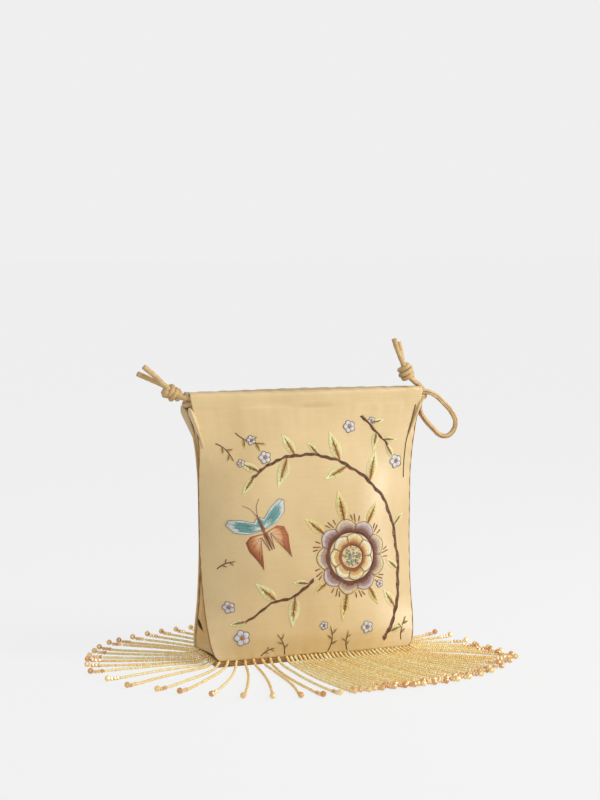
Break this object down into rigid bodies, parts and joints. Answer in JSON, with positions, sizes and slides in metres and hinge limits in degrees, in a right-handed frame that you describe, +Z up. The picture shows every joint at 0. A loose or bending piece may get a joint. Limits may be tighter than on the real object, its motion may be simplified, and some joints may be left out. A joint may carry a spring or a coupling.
{
  "type": "drawstring wristlet bag",
  "caption": "Soft satin drawstring wristlet with folded side gussets, knotted leather drawcords, raised floral embroidery and a beaded fringe fanned out round its base.",
  "frame": {"origin": "middle of the flat underside, on the surface the bag stands on", "axes": "+Z up, +X along the bag's width towards the knot that stands over the mouth, -Y towards the embroidered front"},
  "size_m": [0.3335, 0.2498, 0.2546],
  "materials": {
    "satin": "champagne gold satin with a soft sheen",
    "gusset_satin": "the same satin, duller and darker in its folds",
    "cord_leather": "round pale tan leather cord, stitched along its length",
    "seed_beads": "small bright gold seed beads with faceted copper end beads",
    "rose_thread": "satin stitch in rose and rust thread",
    "cream_thread": "satin stitch in cream thread",
    "teal_thread": "satin stitch in teal thread",
    "bark_thread": "satin stitch in dark brown thread",
    "leaf_thread": "satin stitch in pale yellow green thread",
    "white_thread": "satin stitch in white thread",
    "amber_thread": "satin stitch in amber thread"
  },
  "bodies": {
    "root": {"front_panel": "satin", "back_panel": "satin", "left_gusset": "gusset_satin", "right_gusset": "gusset_satin", "base_panel": "gusset_satin", "front_fringe": "seed_beads", "right_fringe": "seed_beads", "back_fringe": "seed_beads", "left_fringe": "seed_beads", "drawcord_left": "cord_leather", "drawcord_right": "cord_leather", "bloom_outer_petals": "rose_thread", "bloom_inner_petals": "cream_thread", "bloom_heart": "teal_thread", "main_branch": "bark_thread", "lower_twig": "bark_thread", "ear_twig": "bark_thread", "leaf_1": "leaf_thread", "leaf_2": "leaf_thread", "leaf_3": "leaf_thread", "leaf_4": "leaf_thread", "leaf_5": "leaf_thread", "leaf_6": "leaf_thread", "leaf_7": "leaf_thread", "leaf_8": "leaf_thread", "leaf_9": "leaf_thread", "leaf_10": "leaf_thread", "leaf_11": "leaf_thread", "blossom_1": "white_thread", "blossom_2": "white_thread", "blossom_3": "white_thread", "blossom_4": "white_thread", "blossom_5": "white_thread", "butterfly_forewings": "teal_thread", "butterfly_hindwings": "amber_thread"}
  },
  "joints": []
}
